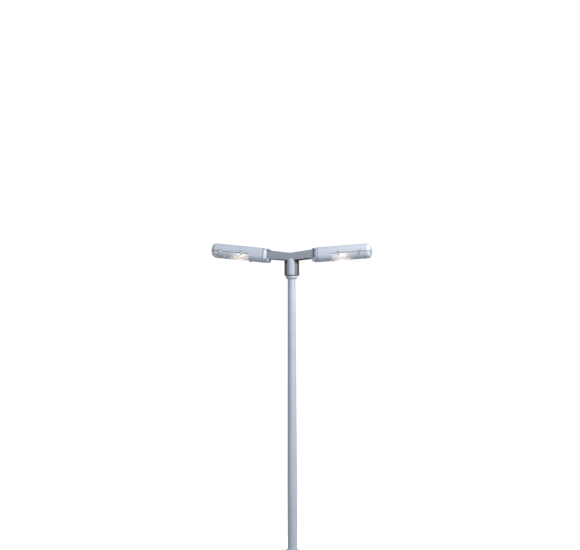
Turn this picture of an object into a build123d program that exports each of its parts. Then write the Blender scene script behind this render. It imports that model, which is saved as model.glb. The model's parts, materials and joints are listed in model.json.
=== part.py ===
from build123d import *
import os

os.makedirs("parts", exist_ok=True)

# Twin-arm street lamp on a conical mast.
# +Z is up, the arms run along X, and the service door in the mast faces +Y.
# The origin is the middle of the base plate's underside. Sizes are in millimetres.

# Clearances
rotating_gap = 0.1      # radial, shaft in its hole
sliding_gap = 0.3       # between pieces that move past each other
fixed_gap = 0.2         # radial, pieces that are screwed or pressed together
screw_gap = 0.25        # radial, screw in its hole

# Base plate
plate_size = 300.0
plate_thick = 20.0
plate_corner = 25.0
anchor_pitch = 200.0
anchor_hole = 24.0
cable_hole = 100.0

# Mast
mast_length = 4040.0
mast_base_dia = 139.7
mast_top_dia = 114.3
mast_wall = 4.0
taper_start = 1000.0

# Foot collar around the mast, on the base plate
foot_collar_dia = 180.0
foot_collar_height = 70.0
foot_screw_dia = 8.0
foot_screw_height = 45.0

# Service door
door_width = 86.0
door_height = 400.0
door_corner = 6.0
door_gap = 2.0
door_bottom = 500.0
hinge_pin_dia = 6.0
hinge_barrel_dia = 12.0
hinge_knuckle = 24.0
hinge_stand_off = 7.0
lock_dia = 20.0
lock_offset = 20.0
lock_flange_dia = 26.0
lock_tongue_reach = 27.0
lock_tongue_width = 12.0
lock_tongue_thick = 5.0

# Equipment behind the door
rail_width = 30.0
rail_thick = 5.0
rail_length = 420.0
rail_depth = 40.0
box_width = 64.0
box_depth = 44.0
box_height = 180.0
box_cover_depth = 18.0
fuse_dia = 10.0
fuse_length = 38.0
earth_stud_dia = 8.0
cable_dia = 9.0
cable_spacing = 26.0

# Mast top
spigot_dia = 76.1
spigot_wall = 4.0
spigot_in_mast = 120.0
spigot_in_socket = 190.0
spigot_ring_height = 55.0
top_collar_dia = 170.0
top_collar_height = 40.0
top_collar_overlap = 20.0
top_collar_chamfer = 14.0

# Bracket: an inverted channel with an upright socket under its middle
arm_reach = 344.0
arm_width = 200.0
arm_wall = 8.0
arm_end_height = 122.0
hub_height = 108.0
hub_half_length = 60.0
arm_rise = 41.0
hub_blend = 420.0
socket_length = 225.0
socket_gap = 14.0
shell_radius = 58.0
shell_centre = 54.0
shell_dome = 30.0
shell_above_arm = 31.0
shell_wall = 8.0
shell_back = 12.0
sleeve_wall = 9.0
rib_inside = 76.0
rib_thick = 8.0
rib_depth = 44.0
rib_front = -8.0
saddle_half_width = 106.0
saddle_wall = 8.0
saddle_back = 82.0
boss_width = 34.0
bond_width = 24.0
bond_thick = 4.0
roof_lap = 3.0
socket_screw_dia = 8.0
socket_screw_head = 13.0

# Tilting luminaires
rest_tilt = {"left": 6.9, "right": 3.2}
pivot_x = 300.0
pivot_below_roof = 69.6
tilt_bolt_dia = 12.0
tilt_head_dia = 19.0
tilt_head_height = 7.5
neck_width = 180.0
neck_height = 76.0
neck_back = 30.0
neck_wall = 10.0

head_width = 290.0
head_height = 208.0
head_corner = 90.0
cap_start = 57.0
cap_round = 44.0
cap_seam = 110.0
cap_gap = 0.6
lens_start = 312.0
head_end = 893.0
nose_round = 62.0
seam_drop = 12.0
canopy_wall = 3.5
lens_wall = 3.0
bulkhead_thick = 5.0
gasket_thick = 4.0
gasket_width = 7.0

bowl_pin_dia = 6.0
bowl_barrel_dia = 12.0
bowl_hinge_drop = 8.0
bowl_knuckle = 22.0
bowl_hinge_half = 44.0

clip_places = (428.0, 745.0)
clip_width = 30.0
clip_thick = 5.0
clip_length = 50.0
clip_barrel_dia = 11.0
clip_trunnion_dia = 5.0
clip_axis_up = 8.0
clip_ear_thick = 5.0

tray_thick = 2.0
tray_drop = 62.0
tray_length = 176.0
tray_width = 210.0
ballast_size = (110.0, 66.0, 53.0)
capacitor_dia = 40.0
capacitor_length = 95.0
holder_dia = 38.0
holder_length = 60.0
lamp_cap_dia = 26.0
lamp_cap_length = 26.0
lamp_dia = 38.0
lamp_length = 150.0
lamp_drop = 30.0
reflector_thick = 1.5
reflector_width = 236.0
reflector_depth = 34.0
reflector_start = 330.0
reflector_end = 850.0
wire_dia = 7.0

# Places that follow from the sizes above
mast_bottom = plate_thick
mast_top = mast_bottom + mast_length
collar_bottom = mast_top - top_collar_overlap
collar_top = collar_bottom + top_collar_height
socket_bottom = collar_top + socket_gap
hub_bottom = socket_bottom + socket_length
hub_top = hub_bottom + hub_height
pivot_z = hub_top - 6 + arm_rise * pivot_x / arm_reach - pivot_below_roof
socket_screw_heights = (socket_bottom + 45, hub_bottom - 45)
door_middle = door_bottom + door_height / 2
sides = {"left": -1, "right": 1}


def mast_radius(z):
    """Outer radius of the mast at a height above the ground."""
    share = max(0, (z - taper_start) / (mast_top - taper_start))
    return (mast_base_dia + (mast_top_dia - mast_base_dia) * share) / 2


def save(piece, name):
    """Label a finished piece and write it as one STEP file."""
    piece.label = name
    export_step(piece, f"parts/{name}.step")


# ---------------------------------------------------------------- mast and base

with BuildPart() as base_plate:
    with BuildSketch():
        RectangleRounded(plate_size, plate_size, plate_corner)
        Circle(cable_hole / 2, mode=Mode.SUBTRACT)
        with GridLocations(anchor_pitch, anchor_pitch, 2, 2):
            Circle(anchor_hole / 2, mode=Mode.SUBTRACT)
    extrude(amount=plate_thick)
    chamfer(base_plate.faces().sort_by(Axis.Z)[-1].outer_wire().edges(), 2)
save(base_plate.part, "base_plate")

with BuildPart() as foot_collar:
    with BuildSketch(Plane.XY.offset(plate_thick)):
        Circle(foot_collar_dia / 2)
        Circle(mast_base_dia / 2 + fixed_gap, mode=Mode.SUBTRACT)
    extrude(amount=foot_collar_height)
    top_rim = foot_collar.faces().sort_by(Axis.Z)[-1].outer_wire().edges()
    chamfer(top_rim, 4)
    with PolarLocations(0, 4, start_angle=35):
        with Locations(Location((0, 0, foot_screw_height), (0, 90, 0))):
            Cylinder(foot_screw_dia / 2 + screw_gap, foot_collar_dia,
                     align=(Align.CENTER, Align.CENTER, Align.MIN), mode=Mode.SUBTRACT)
save(foot_collar.part, "foot_collar")

foot_screw_start = mast_base_dia / 2 + fixed_gap
with BuildPart() as foot_collar_screws:
    with PolarLocations(0, 4, start_angle=35):
        with Locations(Location((foot_screw_start, 0, foot_screw_height), (0, 90, 0))):
            Cylinder(foot_screw_dia / 2, foot_collar_dia / 2 - foot_screw_start - 3,
                     align=(Align.CENTER, Align.CENTER, Align.MIN))
save(foot_collar_screws.part, "foot_collar_screws")


def mast_cone(inset):
    """Solid that follows the mast's surface, this far inside it: straight below, then a cone."""
    with BuildPart() as cone:
        with BuildSketch(Plane.XY.offset(mast_bottom)):
            Circle(mast_base_dia / 2 - inset)
        extrude(amount=taper_start - mast_bottom)
        with BuildSketch(Plane.XY.offset(taper_start)):
            Circle(mast_base_dia / 2 - inset)
        with BuildSketch(Plane.XY.offset(mast_top)):
            Circle(mast_top_dia / 2 - inset)
        loft()
    return cone.part


def door_prism(inset):
    """Rounded block through the rear wall of the mast, smaller by inset on each side."""
    with BuildPart() as prism:
        with BuildSketch(Plane.XZ.offset(-mast_base_dia)):
            with Locations((0, door_middle)):
                RectangleRounded(door_width - 2 * inset, door_height - 2 * inset, door_corner - inset)
        extrude(amount=mast_base_dia - mast_base_dia / 8)
    return prism.part


hinge_r = mast_radius(door_middle) + hinge_stand_off
hinge_x = -(door_width / 2 + hinge_barrel_dia)
hinge_y = (hinge_r ** 2 - hinge_x ** 2) ** 0.5
hinge_heights = (door_bottom + 80, door_bottom + door_height - 80)

with BuildPart() as mast_foot:
    with BuildSketch(Plane.XY.offset(mast_bottom)):
        Circle(mast_base_dia / 2)
        Circle(mast_base_dia / 2 - mast_wall, mode=Mode.SUBTRACT)
    extrude(amount=door_bottom - mast_bottom)
save(mast_foot.part, "mast_foot")

door_top = door_bottom + door_height
with BuildPart() as mast_tube:
    add(mast_cone(0))
    add(mast_cone(mast_wall), mode=Mode.SUBTRACT)
    with Locations((0, 0, door_top)):
        Box(2 * mast_base_dia, 2 * mast_base_dia, mast_length,
            align=(Align.CENTER, Align.CENTER, Align.MIN), mode=Mode.INTERSECT)
save(mast_tube.part, "mast_tube")

with BuildPart() as mast_door_frame:
    with BuildSketch(Plane.XY.offset(door_bottom)):
        Circle(mast_base_dia / 2)
        Circle(mast_base_dia / 2 - mast_wall, mode=Mode.SUBTRACT)
        Rectangle(door_width, mast_base_dia, align=(Align.CENTER, Align.MIN), mode=Mode.SUBTRACT)
    extrude(amount=door_height)
    # Hinge barrels: one above and one below each knuckle of the door, on a web to the wall
    for height in hinge_heights:
        for step in (-1, 1):
            barrel_bottom = height + step * (hinge_knuckle + sliding_gap) - hinge_knuckle / 2
            with BuildSketch(Plane.XY.offset(barrel_bottom)):
                with Locations((hinge_x, hinge_y)):
                    Circle(hinge_barrel_dia / 2)
                with BuildLine():
                    Polyline((hinge_x - 6, hinge_y), (hinge_x + 2, hinge_y - 5.5), (-50, 43), (-56, 36),
                             close=True)
                make_face()
            extrude(amount=hinge_knuckle)
    add(mast_cone(mast_wall), mode=Mode.SUBTRACT)
    with Locations((hinge_x, hinge_y, door_middle)):
        Cylinder(hinge_pin_dia / 2 + rotating_gap, door_height, mode=Mode.SUBTRACT)
save(mast_door_frame.part, "mast_door_frame")

with BuildPart() as mast_door:
    add(mast_cone(0))
    add(mast_cone(mast_wall), mode=Mode.SUBTRACT)
    add(door_prism(door_gap), mode=Mode.INTERSECT)
    for height in hinge_heights:
        with BuildSketch(Plane.XY.offset(height - hinge_knuckle / 2)):
            with Locations((hinge_x, hinge_y)):
                Circle(hinge_barrel_dia / 2)
            with BuildLine():
                Polyline((hinge_x, hinge_y + 6), (hinge_x + 4, hinge_y + 1), (-36, 59), (-34, 62), close=True)
            make_face()
        extrude(amount=hinge_knuckle)
    with Locations((hinge_x, hinge_y, door_middle)):
        Cylinder(hinge_pin_dia / 2 + rotating_gap, door_height, mode=Mode.SUBTRACT)
    with Locations(Location((lock_offset, 0, door_middle), (-90, 0, 0))):
        Cylinder(lock_dia / 2 + rotating_gap, mast_base_dia,
                 align=(Align.CENTER, Align.CENTER, Align.MIN), mode=Mode.SUBTRACT)
save(mast_door.part, "mast_door")

with BuildPart() as door_hinge_pins:
    with Locations(*[(hinge_x, hinge_y, height) for height in hinge_heights]):
        Cylinder(hinge_pin_dia / 2, 3 * hinge_knuckle + 2)
save(door_hinge_pins.part, "door_hinge_pins")

# The lock's barrel goes through the door, and its tongue turns behind the mast wall.
lock_face = mast_radius(door_middle) + 1.5
tongue_back = 33.0
with BuildPart() as door_lock:
    with Locations(Location((lock_offset, tongue_back, door_middle), (-90, 0, 0))):
        Cylinder(lock_dia / 2, lock_face - tongue_back, align=(Align.CENTER, Align.CENTER, Align.MIN))
    with Locations(Location((lock_offset, lock_face, door_middle), (-90, 0, 0))):
        Cylinder(lock_flange_dia / 2, 3, align=(Align.CENTER, Align.CENTER, Align.MIN))
    with Locations((lock_offset, tongue_back, door_middle)):
        Box(lock_tongue_width, lock_tongue_thick, lock_tongue_reach,
            align=(Align.CENTER, Align.MIN, Align.MAX))
    with BuildSketch(Plane.XZ.offset(-lock_face - 3)):
        with Locations((lock_offset, door_middle)):
            RegularPolygon(6, 3, mode=Mode.ADD)
    extrude(amount=6, mode=Mode.SUBTRACT)
save(door_lock.part, "door_lock")

rail_back = -(mast_radius(door_middle) - mast_wall) + rail_depth / 3
with BuildPart() as equipment_rail:
    with Locations((0, rail_back, door_middle)):
        Box(rail_width, rail_thick, rail_length, align=(Align.CENTER, Align.MIN, Align.CENTER))
    with Locations(*[(0, rail_back, door_middle + s * (rail_length / 2 - 15)) for s in (-1, 1)]):
        Box(rail_width, rail_depth, 20, align=(Align.CENTER, Align.MAX, Align.CENTER))
    add(mast_cone(mast_wall + fixed_gap / 4), mode=Mode.INTERSECT)
save(equipment_rail.part, "equipment_rail")

box_back = rail_back + rail_thick
box_z = door_middle + 60
with BuildPart() as fuse_box:
    with Locations((0, box_back, box_z)):
        Box(box_width, box_depth, box_height, align=(Align.CENTER, Align.MIN, Align.CENTER))
    fillet(fuse_box.edges().filter_by(Axis.Y), 5)
    with Locations((0, box_back + 3, box_z)):
        Box(box_width - 6, box_depth, box_height - 6,
            align=(Align.CENTER, Align.MIN, Align.CENTER), mode=Mode.SUBTRACT)
    with Locations(*[(s * cable_spacing / 2, box_back + 15, box_z + box_height / 2) for s in (-1, 1)]):
        Cylinder(cable_dia / 2 + fixed_gap, 20, mode=Mode.SUBTRACT)
save(fuse_box.part, "fuse_box")

cover_y = box_back + box_depth
with BuildPart() as fuse_box_cover:
    with Locations((0, cover_y, box_z)):
        Box(box_width, box_cover_depth, box_height, align=(Align.CENTER, Align.MIN, Align.CENTER))
    fillet(fuse_box_cover.edges().filter_by(Axis.Y), 5)
    fillet(fuse_box_cover.faces().sort_by(Axis.Y)[-1].edges(), 3)
    with Locations((0, cover_y, box_z)):
        Box(box_width - 6, box_cover_depth - 3, box_height - 6,
            align=(Align.CENTER, Align.MIN, Align.CENTER), mode=Mode.SUBTRACT)
save(fuse_box_cover.part, "fuse_box_cover")

with BuildPart() as fuses:
    with Locations(*[(s * cable_spacing / 2, cover_y - 8, box_z + 10) for s in (-1, 1)]):
        Cylinder(fuse_dia / 2, fuse_length)
save(fuses.part, "fuses")

with BuildPart() as fuse_carrier:
    with Locations((0, box_back + 3, box_z + 10)):
        Box(box_width - 12, cover_y - 8 - fuse_dia / 2 - box_back - 3, fuse_length + 20,
            align=(Align.CENTER, Align.MIN, Align.CENTER))
    with Locations(*[(s * cable_spacing / 2, box_back + 15, box_z + 40) for s in (-1, 1)]):
        Cylinder(cable_dia / 2 + fixed_gap, 80, mode=Mode.SUBTRACT)
save(fuse_carrier.part, "fuse_carrier")

with BuildPart() as earth_stud:
    with Locations(Location((0, box_back, door_bottom + 60), (-90, 0, 0))):
        Cylinder(earth_stud_dia / 2, 22, align=(Align.CENTER, Align.CENTER, Align.MIN))
    with BuildSketch(Plane.XZ.offset(-box_back)):
        with Locations((0, door_bottom + 60)):
            RegularPolygon(earth_stud_dia, 6)
    extrude(amount=-7)
save(earth_stud.part, "earth_stud")

# ---------------------------------------------------------------- mast top and bracket

ring_bottom = mast_top - spigot_ring_height - 5
with BuildPart() as mast_spigot:
    with BuildSketch(Plane.XY.offset(mast_top - spigot_in_mast)):
        Circle(spigot_dia / 2)
    extrude(amount=spigot_in_mast + top_collar_height - top_collar_overlap + spigot_in_socket)
    with BuildSketch(Plane.XY.offset(ring_bottom)):
        Circle(mast_radius(mast_top) - mast_wall - fixed_gap)
    extrude(amount=spigot_ring_height)
    with BuildSketch(Plane.XY.offset(mast_top - spigot_in_mast)):
        Circle(spigot_dia / 2 - spigot_wall)
    extrude(amount=spigot_in_mast + top_collar_height + spigot_in_socket, mode=Mode.SUBTRACT)
save(mast_spigot.part, "mast_spigot")

with BuildPart() as mast_top_collar:
    with BuildSketch(Plane.XY.offset(collar_bottom)):
        Circle(top_collar_dia / 2)
    extrude(amount=top_collar_height)
    chamfer(mast_top_collar.faces().sort_by(Axis.Z)[0].edges(), top_collar_chamfer)
    fillet(mast_top_collar.faces().sort_by(Axis.Z)[-1].edges(), 3)
    with BuildSketch(Plane.XY.offset(collar_bottom)):
        Circle(mast_radius(collar_bottom) + fixed_gap)
    extrude(amount=top_collar_overlap, mode=Mode.SUBTRACT)
    with BuildSketch(Plane.XY.offset(collar_bottom)):
        Circle(spigot_dia / 2 + fixed_gap)
    extrude(amount=top_collar_height, mode=Mode.SUBTRACT)
save(mast_top_collar.part, "mast_top_collar")


def channel_outline(inset, below):
    """Side view of the bracket, this far inside it, reaching lower by the given amount."""
    with BuildSketch(Plane.XZ.offset(-arm_width / 2 + inset)) as view:
        with BuildLine():
            top = FilletPolyline((-arm_reach, hub_top + arm_rise - inset),
                                 (0, hub_top - 6 - inset),
                                 (arm_reach, hub_top + arm_rise - inset), radius=hub_blend)
            end_low = hub_top + arm_rise - arm_end_height - below
            Polyline(top @ 1, (arm_reach, end_low), (hub_half_length, hub_bottom - below),
                     (-hub_half_length, hub_bottom - below), (-arm_reach, end_low), top @ 0)
        make_face()
    return view.sketch


sleeve_radius = spigot_dia / 2 + fixed_gap + sleeve_wall
spigot_top = collar_top + spigot_in_socket
with BuildPart() as bracket:
    extrude(channel_outline(0, 0), amount=arm_width)
    extrude(channel_outline(arm_wall, 60), amount=arm_width - 2 * arm_wall, mode=Mode.SUBTRACT)
    # Front half tube of the socket, closed by a dome that stands in front of the channel
    with BuildPart(mode=Mode.PRIVATE) as shell:
        with BuildSketch(Plane.XY.offset(socket_bottom)):
            with Locations((0, -shell_centre)):
                Circle(shell_radius)
            with Locations((0, -shell_back)):
                Rectangle(2 * shell_radius, shell_centre - shell_back, align=(Align.CENTER, Align.MAX))
        extrude(amount=socket_length + shell_above_arm)
        fillet(shell.faces().sort_by(Axis.Z)[-1].edges(), shell_dome)
    add(shell.part)
    with BuildSketch(Plane.XY.offset(socket_bottom)):
        with Locations((0, -shell_centre)):
            Circle(shell_radius - shell_wall)
        with Locations((0, -shell_back)):
            Rectangle(2 * (shell_radius - shell_wall), shell_centre - shell_back,
                      align=(Align.CENTER, Align.MAX))
    extrude(amount=hub_bottom - socket_bottom + 14, mode=Mode.SUBTRACT)
    # Sleeve around the spigot, its rear boss, the web to the half tube and the two side ribs
    with BuildSketch(Plane.XY.offset(socket_bottom)):
        Circle(sleeve_radius)
        with Locations((0, -shell_back)):
            Rectangle(2 * shell_radius, 8, align=(Align.CENTER, Align.MAX))
        with Locations((0, 0)):
            Rectangle(boss_width, saddle_back - saddle_wall - fixed_gap, align=(Align.CENTER, Align.MIN))
    extrude(amount=hub_top - roof_lap - socket_bottom)
    with BuildSketch(Plane.XY.offset(socket_bottom)):
        for side in sides.values():
            with Locations((side * (rib_inside + rib_thick / 2), rib_front)):
                Rectangle(rib_thick, rib_depth, align=(Align.CENTER, Align.MIN))
    extrude(amount=hub_top - socket_bottom)
    with Locations((0, 0, socket_bottom)):
        Cylinder(spigot_dia / 2 + fixed_gap, spigot_top + 1 - socket_bottom,
                 align=(Align.CENTER, Align.CENTER, Align.MIN), mode=Mode.SUBTRACT)
        Cylinder(spigot_dia / 2 - spigot_wall, hub_top - 30 - socket_bottom,
                 align=(Align.CENTER, Align.CENTER, Align.MIN), mode=Mode.SUBTRACT)
    # Way for the cables from the spigot into both arms
    with Locations((0, 0, spigot_top + 8)):
        Box(2 * hub_half_length + 80, 44, hub_top - 30 - spigot_top - 8,
            align=(Align.CENTER, Align.CENTER, Align.MIN), mode=Mode.SUBTRACT)
    with Locations(Location((0, -arm_width / 2 - 1, pivot_z), (-90, 0, 0))):
        with Locations((-pivot_x, 0, 0), (pivot_x, 0, 0)):
            Cylinder(tilt_bolt_dia / 2 + rotating_gap, arm_width + 2,
                     align=(Align.CENTER, Align.CENTER, Align.MIN), mode=Mode.SUBTRACT)
    with Locations(*[Location((0, saddle_back, z), (90, 0, 0)) for z in socket_screw_heights]):
        Cylinder(socket_screw_dia / 2 + screw_gap, 30,
                 align=(Align.CENTER, Align.CENTER, Align.MIN), mode=Mode.SUBTRACT)
save(bracket.part, "bracket")

with BuildPart() as socket_saddle:
    with BuildSketch(Plane.XY.offset(socket_bottom)):
        with BuildLine():
            Polyline((-saddle_half_width, rib_front), (saddle_half_width, rib_front),
                     (saddle_half_width, saddle_back - 30), (saddle_half_width - 30, saddle_back),
                     (30 - saddle_half_width, saddle_back), (-saddle_half_width, saddle_back - 30), close=True)
        make_face()
    extrude(amount=socket_length - 1)
    hollow = rib_inside + rib_thick + fixed_gap
    with BuildSketch(Plane.XY.offset(socket_bottom)):
        with Locations((0, rib_front)):
            Rectangle(2 * hollow, 12, align=(Align.CENTER, Align.MIN))
        with Locations((0, rib_front + 12)):
            Rectangle(2 * (saddle_half_width - saddle_wall), saddle_back - 30 - rib_front - 12,
                      align=(Align.CENTER, Align.MIN))
        with Locations((0, saddle_back - 30)):
            Rectangle(2 * (saddle_half_width - 30), 30 - saddle_wall, align=(Align.CENTER, Align.MIN))
    extrude(amount=socket_length, mode=Mode.SUBTRACT)
    with Locations(*[Location((0, saddle_back + 1, z), (90, 0, 0)) for z in socket_screw_heights]):
        Cylinder(socket_screw_dia / 2 + screw_gap, 30,
                 align=(Align.CENTER, Align.CENTER, Align.MIN), mode=Mode.SUBTRACT)
save(socket_saddle.part, "socket_saddle")

with BuildPart() as socket_screws:
    for z in socket_screw_heights:
        with Locations(Location((0, saddle_back, z), (90, 0, 0))):
            Cylinder(socket_screw_dia / 2, 26, align=(Align.CENTER, Align.CENTER, Align.MIN))
            Cylinder(socket_screw_head / 2, 8, align=(Align.CENTER, Align.CENTER, Align.MAX))
save(socket_screws.part, "socket_screws")

with BuildPart() as bond_strip:
    with Locations((rib_inside - sliding_gap, 0, socket_bottom + 10)):
        Box(bond_width, bond_thick, socket_length - 20, align=(Align.MAX, Align.MIN, Align.MIN))
    with Locations((0, 0, socket_bottom)):
        Cylinder(sleeve_radius + fixed_gap, socket_length, mode=Mode.SUBTRACT,
                 align=(Align.CENTER, Align.CENTER, Align.MIN))
save(bond_strip.part, "bond_strip")

for name, side in sides.items():
    x = side * cable_spacing / 2
    level = hub_top - 54
    with BuildPart() as supply_cable:
        with BuildLine():
            route = FilletPolyline((x, box_back + 15, box_z + box_height / 2 - 30),
                                   (x, box_back + 15, box_z + 300),
                                   (x, 0, box_z + 600),
                                   (x, 0, level),
                                   (side * 160, 0, level),
                                   (side * (pivot_x - neck_back - 12), 0, pivot_z - 6),
                                   radius=(400, 400, 50, 100))
        with BuildSketch(Plane(route @ 0, z_dir=route % 0)):
            Circle(cable_dia / 2)
        sweep()
    save(supply_cable.part, f"{name}_supply_cable")

# ---------------------------------------------------------------- luminaires
# One luminaire is drawn with its tilt pivot at the origin and its nose along +X.
# Each finished piece is then turned to its arm and set to its rest tilt.

head_places = {}
for name, side in sides.items():
    turned = Location((side * pivot_x, 0, pivot_z), (0, 0, 0 if side > 0 else 180))
    head_places[name] = turned * Location((0, 0, 0), (0, -rest_tilt[name], 0))


def save_on_both(piece, name):
    """Write a luminaire piece for the left and for the right arm."""
    for side_name, place in head_places.items():
        save(piece.moved(place), f"{side_name}_{name}")


def section(u, inset):
    """Cross-section of the luminaire at a distance from the pivot, this far inside its skin."""
    with BuildSketch(Plane.YZ.offset(u)) as cut:
        RectangleRounded(head_width - 2 * inset, head_height - 2 * inset, head_corner - inset)
    return cut.sketch


def envelope(inset):
    """Solid of the luminaire from the cap's seam to its nose, this far inside its skin."""
    with BuildPart() as solid:
        start = cap_seam + cap_gap - inset
        extrude(section(start, inset), amount=head_end - inset - start)
        fillet(solid.faces().sort_by(Axis.X)[-1].edges(), nose_round - inset)
    return solid.part


with BuildPart() as end_cap:
    extrude(section(cap_start, 0), amount=cap_seam - cap_start)
    fillet(end_cap.faces().sort_by(Axis.X)[0].edges(), cap_round)
    with BuildPart(mode=Mode.PRIVATE) as cap_hollow:
        extrude(section(cap_start + neck_wall, neck_wall), amount=cap_seam - cap_start)
        fillet(cap_hollow.faces().sort_by(Axis.X)[0].edges(), cap_round - neck_wall)
    add(cap_hollow.part, mode=Mode.SUBTRACT)
    with Locations((-neck_back, 0, 0)):
        Box(neck_back + cap_start + neck_wall, neck_width, neck_height,
            align=(Align.MIN, Align.CENTER, Align.CENTER))
    fillet(end_cap.edges().filter_by(Axis.Y).sort_by(Axis.X)[:2], 18)
    with Locations((-neck_back - 1, 0, 0)):
        Box(neck_back + cap_start + neck_wall + 1, neck_width - 2 * neck_wall - 30, neck_height - 2 * neck_wall,
            align=(Align.MIN, Align.CENTER, Align.CENTER), mode=Mode.SUBTRACT)
    with Locations(Location((0, 0, 0), (90, 0, 0))):
        Cylinder(tilt_bolt_dia / 2 + rotating_gap, neck_width + 2, mode=Mode.SUBTRACT)
save_on_both(end_cap.part, "end_cap")

with BuildPart() as tilt_bolt:
    with Locations(Location((0, 0, 0), (90, 0, 0))):
        Cylinder(tilt_bolt_dia / 2, arm_width + 2 * tilt_head_height)
    for step in (-1, 1):
        with BuildSketch(Plane.XZ.offset(step * arm_width / 2)):
            RegularPolygon(tilt_head_dia / 2, 6)
        extrude(amount=step * tilt_head_height)
for side_name, place in head_places.items():
    upright = Location(place.position, (0, 0, 0))
    save(tilt_bolt.part.moved(upright), f"{side_name}_tilt_bolt")

seam_top = -seam_drop + gasket_thick / 2
seam_low = -seam_drop - gasket_thick / 2
hinge_w = -head_height / 2 - bowl_hinge_drop
inner_width = head_width - 2 * canopy_wall
with BuildPart() as canopy:
    add(envelope(0))
    add(envelope(canopy_wall), mode=Mode.SUBTRACT)
    with Locations((lens_start, 0, seam_top)):
        Box(head_end, head_width + 2, head_height, align=(Align.MIN, Align.CENTER, Align.MAX),
            mode=Mode.SUBTRACT)
    with BuildPart(mode=Mode.PRIVATE) as bulkhead:
        extrude(section(lens_start - bulkhead_thick, canopy_wall - 0.5), amount=bulkhead_thick)
    add(bulkhead.part)
    with Locations((lens_start - bulkhead_thick - 1, 0, -lamp_drop)):
        Box(bulkhead_thick + 2, 90, 50, align=(Align.MIN, Align.CENTER, Align.CENTER), mode=Mode.SUBTRACT)
    # Barrels of the bowl's hinge, outside the bottom, at both ends of the bowl's own knuckles
    for step in (-1, 1):
        with BuildSketch(Plane.XZ.offset(-step * bowl_hinge_half)):
            with Locations((lens_start, hinge_w)):
                Circle(bowl_barrel_dia / 2)
            with BuildLine():
                Polyline((lens_start - 26, -head_height / 2 + 1), (lens_start - 1, -head_height / 2 + 1),
                         (lens_start, hinge_w), (lens_start - 5, hinge_w - 3), close=True)
            make_face()
        extrude(amount=bowl_knuckle / 2, both=True)
    # Two ears for each clip on the canopy's flanks
    for u in clip_places:
        for step in (-1, 1):
            for flank in (-1, 1):
                ear_u = u + step * (clip_width / 2 + sliding_gap + clip_ear_thick / 2)
                with BuildSketch(Plane.YZ.offset(ear_u - clip_ear_thick / 2)):
                    with BuildLine():
                        Polyline((flank * (head_width / 2 - 1), clip_axis_up - 6),
                                 (flank * (head_width / 2 + 10), clip_axis_up - 6),
                                 (flank * (head_width / 2 + 10), clip_axis_up + 4),
                                 (flank * (head_width / 2 - 2), clip_axis_up + 16), close=True)
                    make_face()
                extrude(amount=clip_ear_thick)
    clip_axis_out = head_width / 2 + sliding_gap + clip_barrel_dia / 2
    with Locations(*[Location((u, flank * clip_axis_out, clip_axis_up), (0, 90, 0))
                     for u in clip_places for flank in (-1, 1)]):
        Cylinder(clip_trunnion_dia / 2 + rotating_gap, clip_width + 4 * clip_ear_thick, mode=Mode.SUBTRACT)
    with Locations(Location((lens_start, 0, hinge_w), (90, 0, 0))):
        Cylinder(bowl_pin_dia / 2 + rotating_gap, 4 * bowl_hinge_half, mode=Mode.SUBTRACT)
save_on_both(canopy.part, "canopy")

with BuildPart() as gasket:
    add(envelope(0))
    add(envelope(gasket_width), mode=Mode.SUBTRACT)
    with Locations((cap_seam - 10, 0, -seam_drop)):
        Box(2 * head_end, head_width + 2, gasket_thick - 0.4,
            align=(Align.MIN, Align.CENTER, Align.CENTER), mode=Mode.INTERSECT)
    with Locations((lens_start + fixed_gap, 0, -seam_drop)):
        Box(2 * head_end, head_width + 2, 2 * head_height,
            align=(Align.MIN, Align.CENTER, Align.CENTER), mode=Mode.INTERSECT)
save_on_both(gasket.part, "gasket")

with BuildPart() as lens_bowl:
    add(envelope(0))
    add(envelope(lens_wall), mode=Mode.SUBTRACT)
    with Locations((lens_start + 1.5, 0, seam_low - sliding_gap)):
        Box(2 * head_end, head_width + 2, head_height, align=(Align.MIN, Align.CENTER, Align.MAX),
            mode=Mode.INTERSECT)
    with BuildSketch(Plane.XZ.offset(-bowl_hinge_half + bowl_knuckle / 2 + sliding_gap)):
        with Locations((lens_start, hinge_w)):
            Circle(bowl_barrel_dia / 2)
        with BuildLine():
            Polyline((lens_start + 1.5, -head_height / 2 + 1), (lens_start + 26, -head_height / 2 + 1),
                     (lens_start + 5, hinge_w - 3), (lens_start, hinge_w), close=True)
        make_face()
    extrude(amount=2 * bowl_hinge_half - bowl_knuckle - 2 * sliding_gap)
    with Locations(Location((lens_start, 0, hinge_w), (90, 0, 0))):
        Cylinder(bowl_pin_dia / 2 + rotating_gap, 4 * bowl_hinge_half, mode=Mode.SUBTRACT)
save_on_both(lens_bowl.part, "lens_bowl")

with BuildPart() as bowl_hinge_pin:
    with Locations(Location((lens_start, 0, hinge_w), (90, 0, 0))):
        Cylinder(bowl_pin_dia / 2, 2 * bowl_hinge_half + bowl_knuckle + 2)
save_on_both(bowl_hinge_pin.part, "bowl_hinge_pin")

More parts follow.
